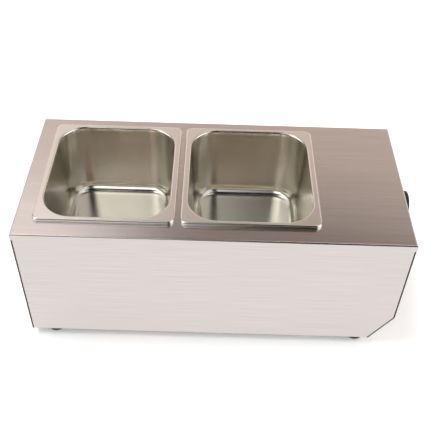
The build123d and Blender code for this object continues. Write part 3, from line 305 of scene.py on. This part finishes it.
# Moulded nylon: the gland, the switch case and the terminal block
black_nylon = moulded("black_nylon", "#151516", "#1E1E1F", roughness=0.45, ior=1.53, grain_mm=0.5)
white_nylon = moulded("white_nylon", "#D9D6CC", "#E4E1D7", roughness=0.45, ior=1.53, grain_mm=0.5)

# Moulded silicone: soft and dull, on the grommets, the gland's seal and the leads' sleeves
silicone = moulded("grey_silicone", "#7A746C", "#8A847B", roughness=0.5, ior=1.43, grain_mm=0.5)

# Pressed mica sheet round its heating ribbon: pearly brown flakes
mica = moulded("pressed_mica", "#8C7350", "#A58B63", roughness=0.4, ior=1.58, grain_mm=2.5, depth_mm=0.05)

# Mineral wool, pressed into slabs: matt yellow-brown fibres
wool = moulded("mineral_wool", "#B59B63", "#CDB57D", roughness=0.95, ior=1.5, grain_mm=1.5, depth_mm=0.6)

# Polished polycarbonate rocker and amber lamp lens. The rocker has the plain marks for on, a line, and off,
# a ring.
rocker_low, rocker_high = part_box("switch_rocker")
rocker_y = (rocker_low[1] + rocker_high[1]) / 2
rocker_z = (rocker_low[2] + rocker_high[2]) / 2
line_width = 0.8 * MM
line_start = 2.4 * MM
line_end = 5.6 * MM
ring_drop = 4.0 * MM
ring_inner = 1.1 * MM
ring_outer = 1.7 * MM
on_mark = (
    (rocker_low[0], rocker_y - line_width / 2, rocker_z + line_start),
    (rocker_high[0] + mark_height, rocker_y + line_width / 2, rocker_z + line_end),
)
off_mark = ((0.0, rocker_y, rocker_z - ring_drop), ring_inner, ring_outer)
rocker_plastic = moulded(
    "polished_polycarbonate", "#0C0C0D", "#111112", roughness=0.15, ior=1.58, grain_mm=0.5, depth_mm=0.005,
    boxes=[on_mark], rings=[off_mark],
)
lens_plastic = moulded(
    "amber_polycarbonate", "#B2500E", "#C25C14", roughness=0.12, ior=1.58, grain_mm=0.5, depth_mm=0.005
)

finishes = {
    housing_steel: ["outer_shell", "base_plate"],
    end_steel: ["left_end_cover", "control_end_cover"],
    pan_steel: ["pan_left", "pan_right"],
    rolled_steel: ["heating_well"],
    galvanised: ["heater_straps", "heat_shield", "bulb_clips", "thermostat_bracket"],
    zinc: [
        "heater_nuts", "cutout_screws", "thermostat_screws", "lamp_nut", "base_screws", "foot_screws",
        "foot_nuts", "earth_stud", "earth_nut",
    ],
    brass: ["thermostat_tabs", "thermostat_shaft", "switch_tabs", "terminal_screws"],
    copper: ["sensor"],
    rubber: ["feet"],
    phenolic: ["heat_cutout", "thermostat_body"],
    knob_plastic: ["control_knob"],
    black_nylon: ["switch_housing", "lamp_body", "gland_body", "gland_nut", "gland_locknut"],
    white_nylon: ["terminal_block"],
    silicone: ["shield_grommets", "gland_seal", "wiring_leads"],
    mica: ["heating_plates"],
    wool: ["insulation_slab", "insulation_wrap"],
    rocker_plastic: ["switch_rocker"],
    lens_plastic: ["lamp_lens"],
}
for material, names in finishes.items():
    for name in names:
        nodes[name].data.materials.clear()
        nodes[name].data.materials.append(material)

# A dark strip down the seam between each end of the front and rear panels and the end cover behind it:
# painted shade, a dark piece standing in for the shadow in the gap there.
seam_shade_material = moulded("painted_gap_shade", "#161413", "#1D1B1A", roughness=0.6, ior=1.43, grain_mm=0.8)
panel_inset = 2.4 * MM  # from the deck's ends to the panel's
skirt_height = 9 * MM
cut_length = 26 * MM  # of the lower corner that is cut back
cut_height = 42 * MM
bead_lift = 0.6 * MM
# How far each point lies out from the panel's edge, and behind its face, in millimetres
bead_outline = [(-0.2, 0.4), (0.1, 0.15), (0.9, 0.05), (1.7, 0.15), (2.0, 0.4), (2.0, 1.6), (-0.2, 1.6)]


def edge_bead(name, side, points, face, inward):
    """A dark strip of painted shade down one end of a panel whose outer face is at Y = face.

    points are its X and Z along the panel's edge, from the top. inward is the way along Y into the housing.
    """
    mesh = bmesh.new()
    rings = []
    for index, (x, z) in enumerate(points):
        run = Vector(points[min(index + 1, len(points) - 1)]) - Vector(points[max(index - 1, 0)])
        run.normalize()
        out_x, out_z = -run[1] * side * MM, run[0] * side * MM
        places = [
            (x + out_x * away, face + inward * back * MM, z + out_z * away) for away, back in bead_outline
        ]
        rings.append([mesh.verts.new(place) for place in places])
    for upper, lower in zip(rings, rings[1:]):
        for i in range(len(bead_outline)):
            j = (i + 1) % len(bead_outline)
            mesh.faces.new((upper[i], upper[j], lower[j], lower[i]))
    mesh.faces.new(rings[0])
    mesh.faces.new(rings[-1])
    bmesh.ops.recalc_face_normals(mesh, faces=mesh.faces)
    data = bpy.data.meshes.new(name)
    mesh.to_mesh(data)
    mesh.free()
    data.materials.append(seam_shade_material)
    bead = new_object(name, data)
    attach(bead, "housing")


bead_top = shell_high[2] - skirt_height
bead_bottom = shell_low[2] + bead_lift
knee_z = shell_low[2] + cut_height
left_edge = shell_low[0] + panel_inset
right_edge = shell_high[0] - panel_inset
bottom_edge = right_edge - cut_length * (knee_z - bead_bottom) / cut_height
left_points = [(left_edge, bead_top), (left_edge, bead_bottom)]
right_points = [(right_edge, bead_top), (right_edge, knee_z), (bottom_edge, bead_bottom)]
for place, face, inward in (("front", shell_low[1], 1), ("rear", shell_high[1], -1)):
    edge_bead("edge_bead_left_" + place, -1, left_points, face, inward)
    edge_bead("edge_bead_right_" + place, 1, right_points, face, inward)

# The rolled lip round the lower edge of each pan's rim, which catches the light as a bright line
roll_radius = 0.85 * MM
roll_lift = 1.15 * MM  # from the deck to its middle
roll_roundness = 3
rim_corner = 8 * MM
rim_inset = 0.45 * MM
corner_steps = 8


def rolled_lip(name, pan):
    """A round roll along a pan's rim, riding on the pan."""
    low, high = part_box(pan)
    reach = rim_corner - rim_inset
    roll_z = shell_high[2] + roll_lift
    corners = (
        (high[0] - rim_corner, high[1] - rim_corner),
        (low[0] + rim_corner, high[1] - rim_corner),
        (low[0] + rim_corner, low[1] + rim_corner),
        (high[0] - rim_corner, low[1] + rim_corner),
    )
    places = []
    for index, (x, y) in enumerate(corners):
        for step in range(corner_steps + 1):
            turn = math.radians(90) * (index + step / corner_steps)
            places.append((x + reach * math.cos(turn), y + reach * math.sin(turn), roll_z))
    curve = bpy.data.curves.new("lip_path", "CURVE")
    curve.dimensions = "3D"
    curve.bevel_depth = roll_radius
    curve.bevel_resolution = roll_roundness
    line = curve.splines.new("POLY")
    line.points.add(len(places) - 1)
    for point, place in zip(line.points, places):
        point.co = (*place, 1.0)
    line.use_cyclic_u = True
    path = bpy.data.objects.new("lip_path", curve)
    roll = new_object(name, bpy.data.meshes.new_from_object(path))
    roll.data.materials.clear()
    roll.data.materials.append(pan_steel)
    for face in roll.data.polygons:
        face.use_smooth = True
    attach(roll, pan)


rolled_lip("rolled_lip_left.001", "pan_left")
rolled_lip("rolled_lip_right.001", "pan_right")

# The dial round the knob: ticks and plain numbers in dark ink on the end cover
ink = moulded("dark_ink", "#262422", "#2E2B29", roughness=0.5, ior=1.5, grain_mm=0.4, depth_mm=0.002)
dial_steps = 10
number_every = 2
number_step = 10
tick_start = 24.5 * MM
tick_end = 27.5 * MM
long_tick_width = 1.0 * MM
plain_tick_width = 0.6 * MM
number_radius = 32 * MM
number_height = 5 * MM
ink_height = 0.04 * MM
dial_middle = Vector((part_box("control_end_cover")[1][0] + ink_height, knob_y, knob_z))
# A letter's own X and Y go to the frame's +Y and +Z, so that it reads from the control end.
facing_end = Matrix(((0, 0, 1, 0), (1, 0, 0, 0), (0, 1, 0, 0), (0, 0, 0, 1)))


def dial_tick(outward, across, width):
    """One flat tick of the dial."""
    half = width / 2
    corners = [
        tuple(dial_middle + outward * radius + across * away)
        for radius, away in ((tick_start, -half), (tick_end, -half), (tick_end, half), (tick_start, half))
    ]
    mesh = bpy.data.meshes.new("tick")
    mesh.from_pydata(corners, [], [(0, 1, 2, 3)])
    return new_object("tick", mesh)


def dial_number(outward, value):
    """One number of the dial, upright."""
    words = bpy.data.curves.new("number", "FONT")
    words.body = str(value)
    words.size = number_height
    words.align_x = "CENTER"
    words.align_y = "CENTER"
    number = new_object("number", words)
    number.matrix_world = Matrix.Translation(dial_middle + outward * number_radius) @ facing_end
    return number


dial_pieces = []
for step in range(dial_steps + 1):
    turn = dial_start - dial_turn * step / dial_steps
    outward = Vector((0, math.cos(turn), math.sin(turn)))
    across = Vector((0, -math.sin(turn), math.cos(turn)))
    numbered = step % number_every == 0
    dial_pieces.append(dial_tick(outward, across, long_tick_width if numbered else plain_tick_width))
    if numbered:
        dial_pieces.append(dial_number(outward, step * number_step))
bpy.context.view_layer.update()
dial = bmesh.new()
for piece in dial_pieces:
    depsgraph = bpy.context.evaluated_depsgraph_get()
    flat_mesh = bpy.data.meshes.new_from_object(piece.evaluated_get(depsgraph))
    flat_mesh.transform(piece.matrix_world)
    dial.from_mesh(flat_mesh)
    bpy.data.meshes.remove(flat_mesh)
for piece in dial_pieces:
    bpy.data.objects.remove(piece)
dial_data = bpy.data.meshes.new("dial_print")
dial.to_mesh(dial_data)
dial.free()
dial_data.materials.append(ink)
dial_print = new_object("dial_print", dial_data)
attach(dial_print, "housing")

# Floor: plain white paper, which keeps the warmer's shadow. The steel reflects most of it as plain white,
# except in light that has already bounced, and the camera sees a thin veil of white over it.
floor_side = 12.0
reflected_white = 0.9
veil_white = 0.1
first_bounce = 0.5
bpy.ops.mesh.primitive_plane_add(size=floor_side, location=(0, 0, 0))
floor = bpy.context.object
floor.name = "floor"
paper = bpy.data.materials.new("white_paper")
tree = empty_tree(paper)
path = node(tree, "LightPath").outputs
seen = node(tree, "Math", (path["Is Glossy Ray"], path["Is Transmission Ray"]), operation="ADD")
direct = node(tree, "Math", (path["Diffuse Depth"], first_bounce), operation="LESS_THAN")
seen_direct = node(tree, "Math", (seen, direct), operation="MULTIPLY")
share = node(tree, "Math", (seen_direct, reflected_white), operation="MULTIPLY")
matt = node(tree, "BsdfDiffuse", {"Color": linear("#FAFAFA")})
glow = node(tree, "Emission", {"Color": linear("#FFFFFF"), "Strength": 1.0})
paper_seen = node(tree, "MixShader", (share, matt, glow))
veil_strength = node(tree, "Math", (path["Is Camera Ray"], veil_white), operation="MULTIPLY")
veil = node(tree, "Emission", {"Color": linear("#FFFFFF"), "Strength": veil_strength})
node(tree, "OutputMaterial", {"Surface": node(tree, "AddShader", (paper_seen, veil))})
floor.data.materials.append(paper)

# The studio, as soft-edged windows of light round the warmer. Azimuth is 0 behind the warmer and 90 at its
# right, elevation is 90 overhead, and a window's colour is multiplied by its strength.
half_turn = 180.0
azimuth_softness = 22.0
elevation_softness = 6.0
white_light = "#FFFFFF"
warm_light = "#FFEEE2"
windows = [
    # azimuth, half width, lowest, highest, colour, strength
    (-110, 30, -20, 26, white_light, 3.0),  # long softbox at the left
    (110, 30, -20, 26, white_light, 2.6),  # long softbox at the right
    (0, 50, -20, 26, warm_light, 1.0),  # pale wall behind
    (0, 60, 26, 44, warm_light, 0.7),  # its upper part
    (-22, 9, 43, 53, white_light, 1.7),  # small lamp behind, which brightens the deck's left end
    (-110, 40, 44, 64, white_light, 1.2),  # reflector over the left side
    (-160, 18, 40, 64, white_light, 1.6),  # lamp at the front left, by the camera
    (100, 45, 26, 64, white_light, 0.7),  # reflector over the right side
    (-60, 35, 64, 78, warm_light, 3.0),  # high softbox at the left
    (45, 42, 64, 78, warm_light, 1.8),  # high softbox at the right
]
world = bpy.data.worlds.new("studio")
bpy.context.scene.world = world
tree = empty_tree(world)
direction = node(tree, "TexCoord").outputs["Generated"]
parts = node(tree, "SeparateXYZ", (direction,)).outputs
turn = node(tree, "Math", (parts["X"], parts["Y"]), operation="ARCTAN2")
rise = node(tree, "Math", (parts["Z"],), operation="ARCSINE")
azimuth = node(tree, "Math", (turn, math.degrees(1)), operation="MULTIPLY")
elevation = node(tree, "Math", (rise, math.degrees(1)), operation="MULTIPLY")
side_soft = azimuth_softness / 2
rise_soft = elevation_softness / 2
light = (0.0, 0.0, 0.0)
for middle, half_width, lowest, highest, colour, strength in windows:
    beside = node(tree, "Math", (azimuth, middle), operation="SUBTRACT")
    wrapped = node(tree, "Math", (beside, -half_turn, half_turn), operation="WRAP")
    away = node(tree, "Math", (wrapped,), operation="ABSOLUTE")
    inside = 1.0
    for value, dark, bright in (
        (away, half_width + side_soft, half_width - side_soft),
        (elevation, lowest - rise_soft, lowest + rise_soft),
        (elevation, highest + rise_soft, highest - rise_soft),
    ):
        edge = node(tree, "MapRange", (value, dark, bright), interpolation_type="SMOOTHSTEP")
        inside = node(tree, "Math", (inside, edge), operation="MULTIPLY")
    glow_colour = [value * strength for value in linear(colour)[:3]]
    scaled = node(tree, "VectorMath", {0: glow_colour, "Scale": inside}, operation="SCALE")
    light = node(tree, "VectorMath", (light, scaled), operation="ADD")
# The camera itself sees plain white in place of the windows.
seen_by_camera = node(tree, "LightPath").outputs["Is Camera Ray"]
light_or_white = {mix_share: seen_by_camera, colour_a: light, colour_b: linear("#FFFFFF")}
shown = node(tree, "Mix", light_or_white, data_type="RGBA").outputs[mixed_colour]
node(tree, "OutputWorld", {"Surface": node(tree, "Background", {"Color": shown})})

# Two softboxes for the floor, overhead and at the right. The steel doesn't show them.
softbox_side = 1.6
for name, place, power in (
    ("softbox_top", (-0.9, 0.3, 2.6), 52.0),
    ("softbox_right", (2.2, -0.6, 1.5), 28.0),
):
    data = bpy.data.lights.new(name, "AREA")
    data.shape = "RECTANGLE"
    data.size = softbox_side
    data.size_y = softbox_side
    data.energy = power
    lamp = new_object(name, data)
    lamp.location = place
    lamp.rotation_mode = "QUATERNION"
    lamp.rotation_quaternion = (-Vector(place)).to_track_quat("-Z", "Y")
    lamp.visible_camera = False
    lamp.visible_glossy = False

# Camera
camera_data = bpy.data.cameras.new("photo_camera")
camera_data.sensor_width = sensor_width
camera_data.lens = focal_pixels / photo_side * sensor_width
camera = new_object("photo_camera", camera_data)
level = math.cos(camera_drop)
forward = Vector((math.sin(camera_yaw) * level, math.cos(camera_yaw) * level, -math.sin(camera_drop)))
shell_middle = [(low + high) / 2 for low, high in zip(shell_low, shell_high)]
deck_middle = Vector((*shell_middle[:2], shell_high[2]))
camera.location = deck_middle + camera_offset
camera.rotation_mode = "QUATERNION"
camera.rotation_quaternion = forward.to_track_quat("-Z", "Y") @ Quaternion((0, 0, 1), camera_roll)
bpy.context.scene.camera = camera
bpy.context.scene.view_settings.view_transform = "Standard"
